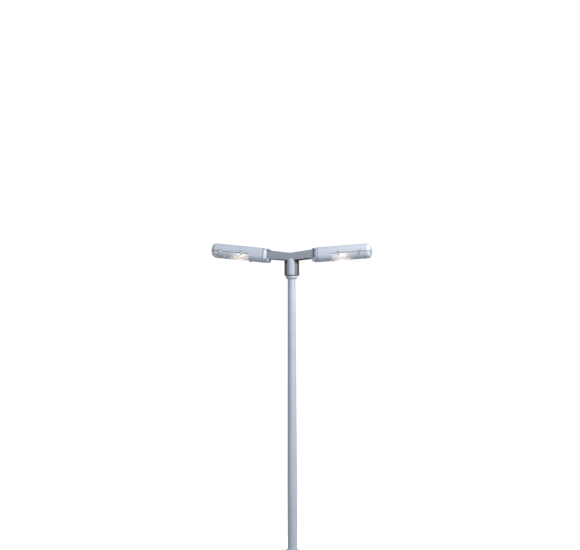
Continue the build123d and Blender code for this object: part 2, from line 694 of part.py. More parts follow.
for row, u in zip(("inner", "outer"), clip_places):
    for face, flank in (("front", -1), ("rear", 1)):
        out = flank * clip_axis_out
        plate_out = flank * (head_width / 2 + sliding_gap + clip_thick / 2)
        with BuildPart() as clip:
            with Locations(Location((u, out, clip_axis_up), (0, 90, 0))):
                Cylinder(clip_barrel_dia / 2, clip_width)
                Cylinder(clip_trunnion_dia / 2, clip_width + 2 * clip_ear_thick)
            with Locations((u, plate_out, clip_axis_up)):
                Box(clip_width, clip_thick, clip_length, align=(Align.CENTER, Align.CENTER, Align.MAX))
            with BuildSketch(Plane.YZ.offset(u - clip_width / 2)):
                with BuildLine():
                    Polyline((plate_out, clip_axis_up - clip_length),
                             (plate_out + flank * 11, clip_axis_up - clip_length - 4),
                             (plate_out + flank * 11, clip_axis_up - clip_length + 2),
                             (plate_out, clip_axis_up - clip_length + 12), close=True)
                make_face()
            extrude(amount=clip_width)
        # The front of the left luminaire is its local +Y side
        for side_name, place in head_places.items():
            shown = face if side_name == "right" else {"front": "rear", "rear": "front"}[face]
            save(clip.part.moved(place), f"{side_name}_clip_{row}_{shown}")

tray_top = -tray_drop + tray_thick
with BuildPart() as gear_tray:
    with Locations((cap_seam + 12, 0, -tray_drop)):
        Box(tray_length, tray_width, tray_thick, align=(Align.MIN, Align.CENTER, Align.MIN))
    with Locations(*[(cap_seam + 12, s * (tray_width / 2 - 1), -tray_drop) for s in (-1, 1)]):
        Box(tray_length, 2, 14, align=(Align.MIN, Align.CENTER, Align.MIN))
    with Locations((cap_seam + 12 + tray_length, 0, -tray_drop)):
        Box(lens_start - bulkhead_thick - cap_seam - 12 - tray_length, 60, 2,
            align=(Align.MIN, Align.CENTER, Align.MIN))
save_on_both(gear_tray.part, "gear_tray")

with BuildPart() as ballast:
    with Locations((cap_seam + 30, -50, tray_top)):
        Box(*ballast_size, align=(Align.MIN, Align.CENTER, Align.MIN))
    chamfer(ballast.edges().filter_by(Axis.X), 2)
save_on_both(ballast.part, "ballast")

with BuildPart() as capacitor:
    with Locations(Location((cap_seam + 30, 50, tray_top + capacitor_dia / 2), (0, 90, 0))):
        Cylinder(capacitor_dia / 2, capacitor_length, align=(Align.CENTER, Align.CENTER, Align.MIN))
    fillet(capacitor.edges(), 3)
save_on_both(capacitor.part, "capacitor")

holder_start = lens_start
lamp_start = holder_start + holder_length - 22
with BuildPart() as lamp_holder:
    with Locations(Location((holder_start, 0, -lamp_drop), (0, 90, 0))):
        Cylinder(holder_dia / 2, holder_length, align=(Align.CENTER, Align.CENTER, Align.MIN))
        Cylinder(lamp_cap_dia / 2 + fixed_gap, holder_length * 2, mode=Mode.SUBTRACT)
    with Locations((holder_start - bulkhead_thick - 3, 0, -lamp_drop)):
        Box(3, 110, 60, align=(Align.MIN, Align.CENTER, Align.CENTER))
    with Locations((holder_start - bulkhead_thick - 3, 0, -lamp_drop)):
        Box(bulkhead_thick + 8, 60, 36, align=(Align.MIN, Align.CENTER, Align.CENTER))
save_on_both(lamp_holder.part, "lamp_holder")

with BuildPart() as lamp_cap:
    with Locations(Location((lamp_start, 0, -lamp_drop), (0, 90, 0))):
        Cylinder(lamp_cap_dia / 2, lamp_cap_length, align=(Align.CENTER, Align.CENTER, Align.MIN))
    chamfer(lamp_cap.faces().sort_by(Axis.X)[0].edges(), 5)
save_on_both(lamp_cap.part, "lamp_cap")

envelope_start = lamp_start + lamp_cap_length
with BuildPart() as lamp_glass:
    with BuildSketch(Plane.XZ):
        with BuildLine():
            lower = Line((envelope_start, -lamp_drop), (envelope_start, -lamp_drop + 11))
            flare = Spline(lower @ 1, (envelope_start + 26, -lamp_drop + lamp_dia / 2),
                           tangents=((1, 0.3), (1, 0)))
            flat = Line(flare @ 1, (envelope_start + lamp_length - lamp_dia / 2, -lamp_drop + lamp_dia / 2))
            RadiusArc(flat @ 1, (envelope_start + lamp_length, -lamp_drop), lamp_dia / 2)
            Line((envelope_start + lamp_length, -lamp_drop), lower @ 0)
        make_face()
    revolve(axis=Axis((0, 0, -lamp_drop), (1, 0, 0)))
save_on_both(lamp_glass.part, "lamp_glass")

with BuildPart() as reflector:
    with BuildSketch(Plane.YZ.offset(reflector_start)):
        with BuildLine():
            roof = ThreePointArc((-reflector_width / 2, 0), (0, reflector_depth), (reflector_width / 2, 0))
            offset(roof, reflector_thick, side=Side.LEFT)
        make_face()
    extrude(amount=reflector_end - reflector_start)
    with Locations(*[(reflector_start + 60 + 370 * n, 0, reflector_depth) for n in (0, 1)]):
        Box(20, 20, head_height / 2 - canopy_wall - reflector_depth,
            align=(Align.CENTER, Align.CENTER, Align.MIN))
save_on_both(reflector.part, "reflector")

with BuildPart() as head_wiring:
    with BuildLine():
        lead = FilletPolyline((tilt_bolt_dia, 0, 0), (cap_seam - 20, 0, 0), (cap_seam + 40, 0, 20),
                              (cap_seam + 110, 0, 10),
                              (lens_start - bulkhead_thick - 9, 0, -lamp_drop + 14), radius=40)
    with BuildSketch(Plane(lead @ 0, z_dir=lead % 0)):
        Circle(wire_dia / 2)
    sweep()
save_on_both(head_wiring.part, "head_wiring")
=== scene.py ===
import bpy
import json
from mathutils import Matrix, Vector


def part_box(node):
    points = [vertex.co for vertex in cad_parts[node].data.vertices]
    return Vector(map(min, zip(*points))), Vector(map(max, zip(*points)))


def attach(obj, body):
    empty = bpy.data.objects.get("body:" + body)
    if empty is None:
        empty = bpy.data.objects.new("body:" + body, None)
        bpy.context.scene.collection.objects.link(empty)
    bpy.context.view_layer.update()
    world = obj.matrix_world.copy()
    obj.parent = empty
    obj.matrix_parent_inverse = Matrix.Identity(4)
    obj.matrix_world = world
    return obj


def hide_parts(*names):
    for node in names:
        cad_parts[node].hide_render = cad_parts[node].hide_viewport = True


bl_info = {
    "name": "Twin-arm street lamp",
    "version": (1, 0, 0),
    "blender": (4, 5, 0),
    "location": "View3D > Sidebar > Street Lamp",
    "description": "Finishes, ribbed bowls, lamps and studio for the twin-arm street lamp",
    "category": "Object",
}

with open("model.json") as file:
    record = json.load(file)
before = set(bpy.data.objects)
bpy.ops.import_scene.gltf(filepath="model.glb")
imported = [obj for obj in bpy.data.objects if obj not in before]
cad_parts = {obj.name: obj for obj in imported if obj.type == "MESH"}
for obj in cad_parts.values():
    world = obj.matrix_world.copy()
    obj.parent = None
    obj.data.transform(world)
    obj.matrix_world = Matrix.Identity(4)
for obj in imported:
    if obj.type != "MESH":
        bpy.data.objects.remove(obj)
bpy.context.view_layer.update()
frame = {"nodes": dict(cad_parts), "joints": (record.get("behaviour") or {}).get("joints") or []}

import json
import math

import bpy
from bpy.props import FloatProperty, FloatVectorProperty, PointerProperty
from mathutils import Matrix, Vector

SIDES = ("left", "right")
joints = {joint["name"]: joint for joint in frame["joints"]}
bracket_low = Vector(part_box("bracket")[0])


# ------------------------------------------------------------------ settings

class StageSettings(bpy.types.PropertyGroup):
    turn: FloatProperty(name="View turn", default=math.radians(10.0), subtype="ANGLE", unit="ROTATION",
                        description="How far the view goes round towards the right arm")
    distance: FloatProperty(name="Distance", default=30.0, unit="LENGTH",
                            description="From the mast to the camera, along the ground")
    eye_height: FloatProperty(name="Eye height", default=1.23, unit="LENGTH",
                              description="Camera above the ground")
    aim_height: FloatProperty(name="Aim height", default=4.101, unit="LENGTH",
                              description="Height on the mast at the middle of the view")
    roll: FloatProperty(name="Roll", default=math.radians(0.2), subtype="ANGLE", unit="ROTATION",
                        description="Lean of the camera to its right")
    lens: FloatProperty(name="Lens", description="Focal length", default=126.6, unit="CAMERA")
    slide: FloatProperty(name="Sideways shift", description="Moves the frame sideways", default=-0.0027)
    key_power: FloatProperty(name="Key light", description="Strength of the light from the upper right",
                             default=900.0, unit="POWER")


class PaintSettings(bpy.types.PropertyGroup):
    mast: FloatVectorProperty(name="Mast", description="Colour of the mast and bracket", subtype="COLOR",
                              size=3, default=(0.46, 0.50, 0.58), min=0.0, max=1.0)
    canopy: FloatVectorProperty(name="Canopy", description="Colour of the luminaires", subtype="COLOR",
                                size=3, default=(0.53, 0.57, 0.65), min=0.0, max=1.0)


class BowlSettings(bpy.types.PropertyGroup):
    rib_pitch: FloatProperty(name="Rib pitch", description="From one rib of the bowl to the next",
                             default=0.0082, unit="LENGTH")
    rib_depth: FloatProperty(name="Rib depth", description="How deep the ribs are",
                             default=0.0011, unit="LENGTH")
    wall: FloatProperty(name="Wall", description="Thickness of the bowl", default=0.0024, unit="LENGTH")
    tooth_length: FloatProperty(name="Tooth length", default=0.026, unit="LENGTH",
                                description="Length of one tooth of the canopy's lip")
    tooth_pitch: FloatProperty(name="Tooth pitch", description="From one tooth to the next",
                               default=0.042, unit="LENGTH")


class LampSettings(bpy.types.PropertyGroup):
    glow: FloatVectorProperty(name="Glow", description="Colour of the light", subtype="COLOR", size=3,
                              default=(1.0, 0.80, 0.62), min=0.0, max=1.0)
    reach: FloatProperty(name="Reach", description="How far the glow spreads over the bowl",
                         default=0.105, unit="LENGTH")
    strength: FloatProperty(name="Strength", default=1.5,
                            description="Brightness of the glow on the bowl")
    power: FloatProperty(name="Lamp power", default=0.7, unit="POWER",
                         description="Light that each lamp gives")


# ------------------------------------------------------------------ materials

class Value:
    """A socket that takes part in ordinary arithmetic; each operation adds a Math node."""

    def __init__(self, tree, socket):
        self.tree = tree
        self.socket = socket

    def _math(self, operation, first, second=None):
        node = self.tree.nodes.new("ShaderNodeMath")
        node.operation = operation
        for place, term in enumerate((first, second)):
            if isinstance(term, Value):
                self.tree.links.new(term.socket, node.inputs[place])
            elif term is not None:
                node.inputs[place].default_value = term
        return Value(self.tree, node.outputs[0])

    def __add__(self, other):
        return self._math("ADD", self, other)

    def __radd__(self, other):
        return self._math("ADD", other, self)

    def __sub__(self, other):
        return self._math("SUBTRACT", self, other)

    def __rsub__(self, other):
        return self._math("SUBTRACT", other, self)

    def __mul__(self, other):
        return self._math("MULTIPLY", self, other)

    def __rmul__(self, other):
        return self._math("MULTIPLY", other, self)

    def __truediv__(self, other):
        return self._math("DIVIDE", self, other)

    def __pow__(self, other):
        return self._math("POWER", self, other)

    def floor_at(self, lowest):
        return self._math("MAXIMUM", self, lowest)

    def cap_at(self, highest):
        return self._math("MINIMUM", self, highest)


class Finish:
    """One material, with its Principled shader ready to take values and links."""

    def __init__(self, name):
        self.material = bpy.data.materials.new(name)
        self.material.use_nodes = True
        self.tree = self.material.node_tree
        self.shader = self.tree.nodes["Principled BSDF"]
        self.place = self.tree.nodes.new("ShaderNodeTexCoord").outputs["Object"]

    def node(self, kind, settings=None, **sockets):
        """Add a node; settings first, then sockets by name (_ for a space) or by number (_0)."""
        node = self.tree.nodes.new(kind)
        for name, value in (settings or {}).items():
            setattr(node, name, value)
        for name, value in sockets.items():
            key = int(name[1:]) if name[1:].isdigit() else name.replace("_", " ")
            self.feed(node.inputs[key], value)
        return node

    def feed(self, socket, value):
        if isinstance(value, Value):
            self.tree.links.new(value.socket, socket)
        elif isinstance(value, bpy.types.NodeSocket):
            self.tree.links.new(value, socket)
        else:
            socket.default_value = value

    def set(self, **sockets):
        for name, value in sockets.items():
            self.feed(self.shader.inputs[name.replace("_", " ")], value)

    def value(self, socket):
        return Value(self.tree, socket)

    def scaled(self, scale):
        """Object coordinates stretched by a scale for each axis."""
        return self.node("ShaderNodeMapping", None, Vector=self.place, Scale=scale).outputs[0]

    def noise(self, scale, detail=3.0, stretch=(1.0, 1.0, 1.0), rough=0.5):
        node = self.node("ShaderNodeTexNoise", None, Vector=self.scaled(stretch), Scale=scale,
                         Detail=detail, Roughness=rough)
        return self.value(node.outputs[0])

    def cells(self, scale, output="Distance"):
        node = self.node("ShaderNodeTexVoronoi", None, Vector=self.place, Scale=scale)
        return self.value(node.outputs[output])

    def mix(self, share, first, second):
        node = self.node("ShaderNodeMix", {"data_type": "RGBA", "clamp_factor": True}, _0=share)
        self.feed(node.inputs[6], first)
        self.feed(node.inputs[7], second)
        return node.outputs[2]

    def bump(self, height, distance, strength=1.0):
        node = self.node("ShaderNodeBump", None, Height=height, Distance=distance, Strength=strength)
        self.set(Normal=node.outputs[0])


def solid_colour(colour, factor=1.0):
    return tuple(min(1.0, channel * factor) for channel in colour[:3]) + (1.0,)


def paint(name, colour, streak=0.10, gloss=0.42):
    """Powder coat: fine orange peel, slow clouding and faint rain streaks down the surface."""
    coat = Finish(name)
    cloud = coat.noise(2.2, 4.0)
    rain = coat.noise(26.0, 3.0, (1.0, 1.0, 0.05))
    dust = coat.noise(60.0, 5.0)
    worn = (cloud - 0.5) * 1.6 + (rain - 0.5) * streak * 8 + (dust - 0.5) * 0.35 + 0.5
    worn = worn.floor_at(0.0).cap_at(1.0)
    coat.set(Base_Color=coat.mix(worn, solid_colour(colour, 0.90), solid_colour(colour, 1.08)),
             Roughness=gloss + (dust - 0.5) * 0.18 + (rain - 0.5) * 0.12,
             Metallic=0.0, Coat_Weight=0.25, Coat_Roughness=0.25)
    coat.bump(coat.noise(420.0, 2.0) * 0.6 + coat.noise(1400.0, 1.0) * 0.4, 0.0004, 0.35)
    return coat.material


def bracket_paint(name, colour):
    """Darker on the channel's flat sides, and about the mast's colour on the half tube and sleeve."""
    coat = Finish(name)
    axes = coat.node("ShaderNodeSeparateXYZ", None, Vector=coat.place)
    height, depth = coat.value(axes.outputs["Z"]), coat.value(axes.outputs["Y"])
    socket = ((channel_low() - height) * 120.0 + 0.5).floor_at(0.0).cap_at(1.0)
    dome = ((bracket_low.y + 0.010 - depth) * 400.0).floor_at(0.0).cap_at(1.0)
    light = (socket + dome).cap_at(1.0)
    cloud = coat.noise(9.0, 4.0)
    dust = coat.noise(60.0, 5.0)
    worn = (cloud * 0.7 + dust * 0.3).floor_at(0.0).cap_at(1.0)
    dark = coat.mix(worn, solid_colour(colour, 0.46), solid_colour(colour, 0.60))
    pale = coat.mix(worn, solid_colour(colour, 0.86), solid_colour(colour, 1.02))
    coat.set(Base_Color=coat.mix(light, dark, pale), Roughness=0.48 + (dust - 0.5) * 0.2,
             Coat_Weight=0.15, Coat_Roughness=0.3)
    coat.bump(coat.noise(420.0, 2.0), 0.0004, 0.35)
    return coat.material


def channel_low():
    """Height of the channel's lower edge, at the top of the rear saddle."""
    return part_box("socket_saddle")[1][2]


def galvanised(name):
    zinc = Finish(name)
    spangle = zinc.cells(85.0, "Color")
    patch = zinc.noise(9.0, 4.0)
    zinc.set(Base_Color=zinc.mix(patch * 0.6 + spangle * 0.4,
                                 (0.33, 0.35, 0.37, 1), (0.58, 0.60, 0.63, 1)),
             Roughness=0.38 + spangle * 0.2, Metallic=0.85)
    zinc.bump(spangle * 0.5 + zinc.noise(300.0) * 0.5, 0.0002, 0.4)
    return zinc.material


def brushed(name, colour, stretch=(0.04, 1.0, 1.0), rough=0.3):
    steel = Finish(name)
    grain = steel.noise(900.0, 2.0, stretch)
    smear = steel.noise(30.0, 4.0)
    steel.set(Base_Color=steel.mix(smear, solid_colour(colour, 0.82), solid_colour(colour, 1.1)),
              Roughness=rough + (grain - 0.5) * 0.2, Metallic=0.9)
    steel.bump(grain, 0.0002, 0.3)
    return steel.material


def painted_shade_casting(name, colour):
    # Near-black finish: painted shade for the socket saddle's cheeks, which stand where the slots beside
    # the half tube lie in shadow; the soot noise only varies the tone at random.
    iron = Finish(name)
    skin = iron.noise(260.0, 4.0)
    soot = iron.noise(14.0, 3.0)
    iron.set(Base_Color=iron.mix(soot, solid_colour(colour, 0.7), solid_colour(colour, 1.7)),
             Roughness=0.55 + (skin - 0.5) * 0.3, Metallic=0.1)
    iron.bump(skin, 0.0008, 0.6)
    return iron.material


def tarnished_brass(name):
    brass = Finish(name)
    patch = brass.noise(30.0, 5.0, (1.0, 1.0, 0.6))
    spots = brass.noise(140.0, 4.0)
    old = (patch * 2.2 - 0.75 + (spots - 0.5) * 0.8).floor_at(0.0).cap_at(1.0)
    brass.set(Base_Color=brass.mix(old, (0.78, 0.44, 0.19, 1), (0.22, 0.11, 0.06, 1)),
              Roughness=0.32 + old * 0.35, Metallic=0.55)
    brass.bump(spots, 0.0003, 0.4)
    return brass.material


def moulded(name, colour, rough=0.5, depth=0.0003):
    plastic = Finish(name)
    cloud = plastic.noise(18.0, 3.0)
    grain = plastic.noise(800.0, 2.0)
    plastic.set(Base_Color=plastic.mix(cloud, solid_colour(colour, 0.88), solid_colour(colour, 1.1)),
                Roughness=rough + (grain - 0.5) * 0.2)
    plastic.bump(grain, depth, 0.5)
    return plastic.material


def stacked_iron(name):
    """Ballast: a varnished stack of thin iron sheets."""
    stack = Finish(name)
    sheets = stack.node("ShaderNodeTexWave", {"bands_direction": "Y"}, Vector=stack.place, Scale=160.0,
                        Distortion=0.3)
    layer = stack.value(sheets.outputs[1])
    cloud = stack.noise(30.0)
    stack.set(Base_Color=stack.mix(cloud, (0.03, 0.03, 0.035, 1), (0.10, 0.09, 0.08, 1)),
              Roughness=0.35 + layer * 0.25, Metallic=0.3)
    stack.bump(layer, 0.0006, 0.7)
    return stack.material


def painted_glow_share(finish, centres, reach):
    """Sum over the centres of a share that is 1 at the centre and falls off softly to 0 at reach."""
    total = None
    for centre in centres:
        away = finish.node("ShaderNodeVectorMath", {"operation": "DISTANCE"},
                           _0=finish.place, _1=tuple(centre))
        near = (1.0 - finish.value(away.outputs["Value"]) / reach).floor_at(0.0) ** 1.6
        total = near if total is None else total + near
    return total


def clear_bowl(name, centres, lamp):
    """Clear ribbed plastic, with the lamp's light painted on it as an emissive glow around each lamp."""
    bowl = Finish(name)
    haze = bowl.noise(12.0, 4.0)
    scratch = bowl.noise(380.0, 2.0, (0.06, 1.0, 1.0))
    # Painted light: emission and extra opacity around each lamp, with a warmer painted hot spot in the
    # middle.
    glow = painted_glow_share(bowl, centres, lamp.reach * 2.1)
    core = painted_glow_share(bowl, centres, lamp.reach)
    warm = bowl.mix(core * 2.2, tuple(lamp.glow) + (1.0,), (1.0, 0.98, 0.93, 1.0))
    bowl.set(Base_Color=bowl.mix(haze, (0.56, 0.60, 0.68, 1), (0.68, 0.72, 0.80, 1)),
             Roughness=0.16 + scratch * 0.14, Alpha=(0.66 + haze * 0.12 + glow * 0.4).cap_at(1.0),
             Emission_Color=bowl.mix(glow, (0.0, 0.0, 0.0, 1), warm), Emission_Strength=lamp.strength,
             Coat_Weight=0.4, Coat_Roughness=0.08, IOR=1.5)
    bowl.bump(scratch, 0.0001, 0.3)
    return bowl.material


def lamp_bulb(name):
    bulb = Finish(name)
    film = bulb.noise(40.0)
    bulb.set(Base_Color=bulb.mix(film, (1.0, 0.86, 0.66, 1), (1.0, 0.95, 0.86, 1)),
             Roughness=0.05 + film * 0.06, Alpha=0.45 + film * 0.15,
             Emission_Color=(1.0, 0.72, 0.42, 1), Emission_Strength=3.0)
    return bulb.material


def hot_core(name):
    core = Finish(name)
    flicker = core.noise(90.0)
    core.set(Base_Color=(1.0, 0.9, 0.7, 1), Roughness=0.4,
             Emission_Color=core.mix(flicker, (1.0, 0.74, 0.40, 1), (1.0, 0.92, 0.75, 1)),
             Emission_Strength=26.0)
    return core.material


def polished_reflector(name, centres, lamp):
    """Anodised aluminium, with the lamp's light painted on it as an emissive glow around the lamp."""
    mirror = Finish(name)
    facet = mirror.noise(70.0, 2.0)
    # Painted light: emission around the lamp stands in for the lamp lighting the reflector.
    glow = painted_glow_share(mirror, centres, lamp.reach * 2.4)
    mirror.set(Base_Color=mirror.mix(facet, (0.62, 0.63, 0.65, 1), (0.80, 0.81, 0.83, 1)),
               Roughness=0.25 + facet * 0.15, Metallic=0.6,
               Emission_Color=mirror.mix(glow, (0.0, 0.0, 0.0, 1), tuple(lamp.glow) + (1.0,)),
               Emission_Strength=0.9)
    mirror.bump(facet, 0.0008, 0.5)
    return mirror.material


finishes = {}


def dress(node, finish, bevel=0.0):
    """Give a CAD node its material, and a fine rounded edge where one is asked for."""
    obj = frame["nodes"][node]
    obj.data.materials.clear()
    obj.data.materials.append(finishes[finish])
    if bevel:
        weld = obj.modifiers.new("Join faces", "WELD")
        weld.merge_threshold = 0.00002
        edge = obj.modifiers.new("Soft edges", "BEVEL")
        edge.width = bevel
        edge.segments = 2
        edge.limit_method = "ANGLE"
        edge.angle_limit = math.radians(40)
        edge.harden_normals = False


# ------------------------------------------------------------------ luminaire geometry, from the frame

# Sizes of the luminaire in its own axes, in metres: tilt pivot at the origin, nose along +X
HALF_WIDTH = 0.145
HALF_HEIGHT = 0.104
CORNER = 0.090
NOSE_ROUND = 0.062
NOSE = 0.893
BOWL_START = 0.3135
BOWL_TOP = -0.0143
HINGE_ALONG = 0.312
HINGE_DROP = -0.112
LAMP_DROP = -0.030

# The clear bowl's nose stops short of the canopy's, so that no corner passes the CAD bowl
NOSE_SHORT = 0.0013
NOSE_TURNS = 16
RIBS_START = 0.004
RIB_STEPS = 6
RIB_FADE = 14
SECTION_ROUNDING_LEAST = 0.004

# Lip teeth: how far the path stands off the canopy, where it runs and the size of a block
LIP_OUT = 0.0008
LIP_RISE = 0.0030
LIP_START = 0.02
LIP_NOSE_SHORT = 0.0016
LIP_STEPS = 24
LIP_CORNER_STEPS = 12
TOOTH_THICK = 0.0030
TOOTH_HEIGHT = 0.0085

# Arc tube: distance from its middle and radius, for one half of its length
ARC_HALF = ((0.030, 0.002), (0.026, 0.004), (0.020, 0.007))
ARC_RADIUS = 0.008

# Seal band at the canopy's inner end: place along, length, how far it stands out, and thickness
SEAL = (0.1085, 0.0055, 0.0009, 0.0035)
SEAL_STEPS = 16

# Hood: shoulders of the end cap, which round off towards the arm, with a slot for the arm's end
HOOD_START = 0.064
HOOD_LENGTH = 0.048
HOOD_SHRINK = -0.024
HOOD_STEPS = 12
HOOD_STATIONS = 9
HOOD_SLOT = (-0.052, 0.085)
HOOD_SLOT_LENGTH = (0.0, 0.2)
HOOD_SLOT_WIDTH = (-0.2, 0.2)

# Set screw in the arm: place along and height on its front face, radius and head height
SCREW_X, SCREW_Z = 0.252, 4.352
SCREW_SINK = 0.0002
SCREW_RADIUS = 0.012
SCREW_HEIGHT = 0.007

# Screw head: share of the radius and of the height, and its hexagon socket
HEAD_PROFILE = ((1.0, 0.0), (1.0, 0.35), (0.94, 0.62), (0.78, 0.85), (0.52, 1.0))
SOCKET_FLOOR = 0.35
SOCKET_SHARE = 0.42

# Weld at the mast's foot
WELD_LIFT = 0.001
WELD_THICK = 0.005
WELD_RIPPLES = 96
WELD_AROUND = 10
WELD_SWELL = 0.12


def luminaire_place(side):
    """Matrix from the luminaire's own axes to the lamp's, read from its two transverse joints."""
    pivot = Vector(joints[f"{side}_tilt"]["pos_m"])
    hinge = Vector(joints[f"{side}_bowl_hinge"]["pos_m"])
    reach = hinge - pivot
    tilt = math.atan2(reach.z, abs(reach.x)) - math.atan2(HINGE_DROP, HINGE_ALONG)
    turn = 0.0 if pivot.x > 0 else math.pi
    return Matrix.Translation(pivot) @ Matrix.Rotation(turn, 4, "Z") @ Matrix.Rotation(-tilt, 4, "Y")


def lamp_centre(side):
    glass_low, glass_high = (Vector(corner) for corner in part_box(f"{side}_lamp_glass"))
    return (glass_low + glass_high) / 2


def lower_outline(inset, steps_per_metre, rib_pitch, rib_depth):
    """Lower half of the cross-section, from one flank round to the other, with ribs cut inwards."""
    wide = HALF_WIDTH - inset
    deep = HALF_HEIGHT - inset
    radius = max(CORNER - inset, SECTION_ROUNDING_LEAST)
    arc = radius * math.pi / 2
    flat = 2 * (wide - radius)
    centre_drop = -(deep - radius)
    full = (CORNER * math.pi + 2 * (HALF_WIDTH - CORNER))
    count = int(full * steps_per_metre)
    points = []
    for step in range(count + 1):
        along = (2 * arc + flat) * step / count
        if along < arc:
            angle = along / radius
            place = Vector((wide - radius + radius * math.cos(angle),
                            centre_drop - radius * math.sin(angle)))
            inward = Vector((-math.cos(angle), math.sin(angle)))
        elif along < arc + flat:
            place = Vector((wide - radius - (along - arc), -deep))
            inward = Vector((0.0, 1.0))
        else:
            angle = (along - arc - flat) / radius
            place = Vector((radius - wide - radius * math.sin(angle),
                            centre_drop - radius * math.cos(angle)))
            inward = Vector((math.sin(angle), math.cos(angle)))
        ripple = 0.5 - 0.5 * math.cos(2 * math.pi * full * step / count / rib_pitch)
        edge = min(1.0, step / RIB_FADE, (count - step) / RIB_FADE)
        points.append(place + inward * (rib_depth * ripple * edge))
    for point in (points[0], points[-1]):
        point.y = BOWL_TOP
    return points


def new_piece(name, vertices, faces, material, smooth=True):
    mesh = bpy.data.meshes.new(name)
    mesh.from_pydata([tuple(vertex) for vertex in vertices], [], faces)
    mesh.materials.append(material)
    mesh.validate()
    for polygon in mesh.polygons:
        polygon.use_smooth = smooth
    piece = bpy.data.objects.new(name, mesh)
    bpy.context.scene.collection.objects.link(piece)
    return piece


def settle(piece):
    """Replace a piece's mesh by what its modifiers make, and drop the modifiers."""
    bpy.context.view_layer.update()
    graph = bpy.context.evaluated_depsgraph_get()
    done = bpy.data.meshes.new_from_object(piece.evaluated_get(graph))
    piece.modifiers.clear()
    piece.data = done
    return piece


def ribbed_bowl(side, bowl):
    """The clear bowl: ribbed lower half of the luminaire, closed at its nose."""
    rows = []
    nose = NOSE - NOSE_SHORT
    stations = [(BOWL_START, 0.0), (BOWL_START + RIBS_START, 0.0), (nose - NOSE_ROUND - RIBS_START, 0.0)]
    for turn in range(NOSE_TURNS + 1):
        angle = math.pi / 2 * turn / NOSE_TURNS
        stations.append((nose - NOSE_ROUND * (1 - math.sin(angle)), NOSE_ROUND * (1 - math.cos(angle))))
    fine = RIB_STEPS / bowl.rib_pitch
    for along, inset in stations:
        depth = 0.0 if along == BOWL_START else bowl.rib_depth
        rows.append([(along, point.x, min(point.y, BOWL_TOP))
                     for point in lower_outline(inset, fine, bowl.rib_pitch, depth)])
    last = rows[-1]
    for share in (0.5, 1.0):
        rows.append([(nose, point[1], point[2] + (BOWL_TOP - point[2]) * share) for point in last])
    width = len(rows[0])
    place = luminaire_place(side)
    vertices = [place @ Vector(point) for row in rows for point in row]
    faces = []
    for row in range(len(rows) - 1):
        for column in range(width - 1):
            corner = row * width + column
            faces.append((corner, corner + 1, corner + width + 1, corner + width))
    piece = new_piece(f"{side}_ribbed_bowl", vertices, faces, finishes["bowl"])
    weld = piece.modifiers.new("Join", "WELD")
    weld.merge_threshold = 0.00005
    settle(piece)
    point_outwards(piece)
    wall = piece.modifiers.new("Wall", "SOLIDIFY")
    wall.thickness = bowl.wall
    wall.offset = -1.0
    settle(piece)
    return piece


def face_out(piece):
    """Turn a closed piece's faces outwards, by the sign of its volume."""
    mesh = piece.data
    mesh.calc_loop_triangles()
    volume = 0.0
    for triangle in mesh.loop_triangles:
        first, second, third = (mesh.vertices[index].co for index in triangle.vertices)
        volume += first.dot(second.cross(third))
    if volume < 0:
        mesh.flip_normals()
    return piece


def point_outwards(piece):
    """Turn an open shell's faces away from the luminaire's middle line."""
    mesh = piece.data
    centre = sum((vertex.co for vertex in mesh.vertices), Vector()) / len(mesh.vertices)
    score = 0.0
    for polygon in mesh.polygons:
        away = polygon.center - centre
        away.z -= 0.02
        score += polygon.normal.dot(away) * polygon.area
    if score < 0:
        mesh.flip_normals()


def add_input(tree, name, kind, default):
    socket = tree.interface.new_socket(name=name, in_out="INPUT", socket_type=kind)
    if default is not None:
        socket.default_value = default
    return socket


def tooth_tree(material, bowl):
    """Geometry Nodes tree: one block on each point of a path, turned along it."""
    tree = bpy.data.node_groups.new("Lip teeth", "GeometryNodeTree")
    add_input(tree, "Path", "NodeSocketGeometry", None)
    add_input(tree, "Pitch", "NodeSocketFloat", bowl.tooth_pitch)
    add_input(tree, "Tooth", "NodeSocketVector", (bowl.tooth_length, TOOTH_THICK, TOOTH_HEIGHT))
    tree.interface.new_socket(name="Teeth", in_out="OUTPUT", socket_type="NodeSocketGeometry")
    new, link = tree.nodes.new, tree.links.new
    source, out = new("NodeGroupInput"), new("NodeGroupOutput")
    curve = new("GeometryNodeMeshToCurve")
    points = new("GeometryNodeCurveToPoints")
    points.mode = "LENGTH"
    block = new("GeometryNodeMeshCube")
    instance = new("GeometryNodeInstanceOnPoints")
    realize = new("GeometryNodeRealizeInstances")
    finish = new("GeometryNodeSetMaterial")
    finish.inputs["Material"].default_value = material
    link(source.outputs["Path"], curve.inputs[0])
    link(curve.outputs[0], points.inputs[0])
    link(source.outputs["Pitch"], points.inputs["Length"])
    align = new("FunctionNodeAlignRotationToVector")
    align.axis = "X"
    link(points.outputs["Tangent"], align.inputs["Vector"])
    link(points.outputs["Points"], instance.inputs["Points"])
    link(source.outputs["Tooth"], block.inputs["Size"])
    link(block.outputs["Mesh"], instance.inputs["Instance"])
    link(align.outputs[0], instance.inputs["Rotation"])
    link(instance.outputs[0], realize.inputs[0])
    link(realize.outputs[0], finish.inputs[0])
    link(finish.outputs[0], out.inputs[0])
    return tree


